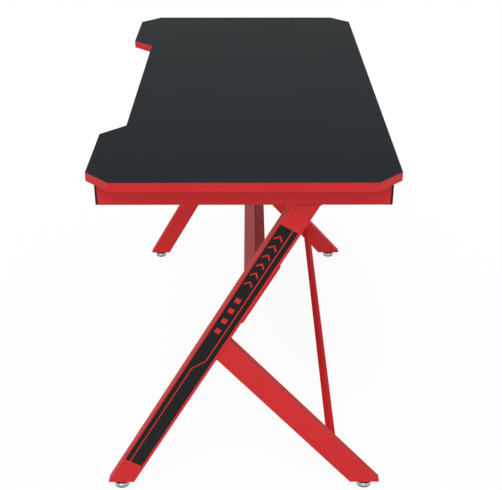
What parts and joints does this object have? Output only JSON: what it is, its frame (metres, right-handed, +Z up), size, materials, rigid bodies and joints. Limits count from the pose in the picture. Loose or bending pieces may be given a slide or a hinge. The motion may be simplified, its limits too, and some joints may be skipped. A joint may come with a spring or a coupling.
{
  "type": "gaming desk",
  "caption": "Gaming desk with a black cut-corner top, red edge band, red K-shaped tube legs, cross beam, rear stretcher and screw-in levelling feet.",
  "frame": {"origin": "on the floor, under the middle of the desk", "axes": "+X along the desk towards its right end, +Y to the back away from the user, +Z up"},
  "size_m": [1.2, 0.6065, 0.765],
  "materials": {
    "board_core": "raw particle board, hidden under film and band",
    "black_film": "fine matte black film",
    "red_edge_band": "satin red plastic edge",
    "red_paint": "satin red powder coat",
    "black_vinyl": "satin black vinyl",
    "black_plastic": "moulded black plastic",
    "chrome": "bright plated",
    "zinc_steel": "zinc plated",
    "black_steel": "black oxide",
    "nylon": "dark nylon"
  },
  "bodies": {
    "frame": {"desktop_board": "board_core", "desktop_top_film": "black_film", "desktop_under_film": "black_film", "desktop_edge_band": "red_edge_band", "right_top_rail": "red_paint", "right_front_strut": "red_paint", "right_rear_strut": "red_paint", "right_beam_seat": "red_paint", "right_stretcher_spigot": "red_paint", "right_strut_decal": "black_vinyl", "right_front_rail_cap": "black_plastic", "right_front_foot_bush": "red_paint", "right_rear_rail_cap": "black_plastic", "right_rear_foot_bush": "red_paint", "left_top_rail": "red_paint", "left_front_strut": "red_paint", "left_rear_strut": "red_paint", "left_beam_seat": "red_paint", "left_stretcher_spigot": "red_paint", "left_strut_decal": "black_vinyl", "left_front_rail_cap": "black_plastic", "left_front_foot_bush": "red_paint", "left_rear_rail_cap": "black_plastic", "left_rear_foot_bush": "red_paint", "main_beam": "red_paint", "rear_stretcher": "red_paint", "beam_rivet_nuts": "zinc_steel", "desktop_screws": "zinc_steel", "beam_bolts": "black_steel", "stretcher_screws": "black_steel"},
    "right_front_foot_base": {"right_front_foot_glide": "nylon"},
    "right_front_foot_screw": {"right_front_foot_cup": "chrome", "right_front_foot_stud": "zinc_steel"},
    "right_rear_foot_base": {"right_rear_foot_glide": "nylon"},
    "right_rear_foot_screw": {"right_rear_foot_cup": "chrome", "right_rear_foot_stud": "zinc_steel"},
    "left_front_foot_base": {"left_front_foot_glide": "nylon"},
    "left_front_foot_screw": {"left_front_foot_cup": "chrome", "left_front_foot_stud": "zinc_steel"},
    "left_rear_foot_base": {"left_rear_foot_glide": "nylon"},
    "left_rear_foot_screw": {"left_rear_foot_cup": "chrome", "left_rear_foot_stud": "zinc_steel"}
  },
  "joints": [
    {"name": "right_front_foot_height", "type": "slide", "parent": "frame", "child": "right_front_foot_base", "axis": [0, 0, 1], "range_m": [-0.01, 0.001]},
    {"name": "right_front_foot_turn", "type": "hinge", "parent": "right_front_foot_base", "child": "right_front_foot_screw", "pos_m": [0.5455, -0.27713, 0], "axis": [0, 0, 1], "range_deg": [-2885, 293]},
    {"name": "right_rear_foot_height", "type": "slide", "parent": "frame", "child": "right_rear_foot_base", "axis": [0, 0, 1], "range_m": [-0.01, 0.001]},
    {"name": "right_rear_foot_turn", "type": "hinge", "parent": "right_rear_foot_base", "child": "right_rear_foot_screw", "pos_m": [0.5455, 0.26707, 0], "axis": [0, 0, 1], "range_deg": [-2885, 293]},
    {"name": "left_front_foot_height", "type": "slide", "parent": "frame", "child": "left_front_foot_base", "axis": [0, 0, 1], "range_m": [-0.01, 0.001]},
    {"name": "left_front_foot_turn", "type": "hinge", "parent": "left_front_foot_base", "child": "left_front_foot_screw", "pos_m": [-0.5455, -0.27713, 0], "axis": [0, 0, 1], "range_deg": [-2885, 293]},
    {"name": "left_rear_foot_height", "type": "slide", "parent": "frame", "child": "left_rear_foot_base", "axis": [0, 0, 1], "range_m": [-0.01, 0.001]},
    {"name": "left_rear_foot_turn", "type": "hinge", "parent": "left_rear_foot_base", "child": "left_rear_foot_screw", "pos_m": [-0.5455, 0.26707, 0], "axis": [0, 0, 1], "range_deg": [-2885, 293]}
  ],
  "couplings": [
    {"joint": "right_front_foot_turn", "follows": "right_front_foot_height", "rad_per_m": 5026.5},
    {"joint": "right_rear_foot_turn", "follows": "right_rear_foot_height", "rad_per_m": 5026.5},
    {"joint": "left_front_foot_turn", "follows": "left_front_foot_height", "rad_per_m": 5026.5},
    {"joint": "left_rear_foot_turn", "follows": "left_rear_foot_height", "rad_per_m": 5026.5}
  ]
}
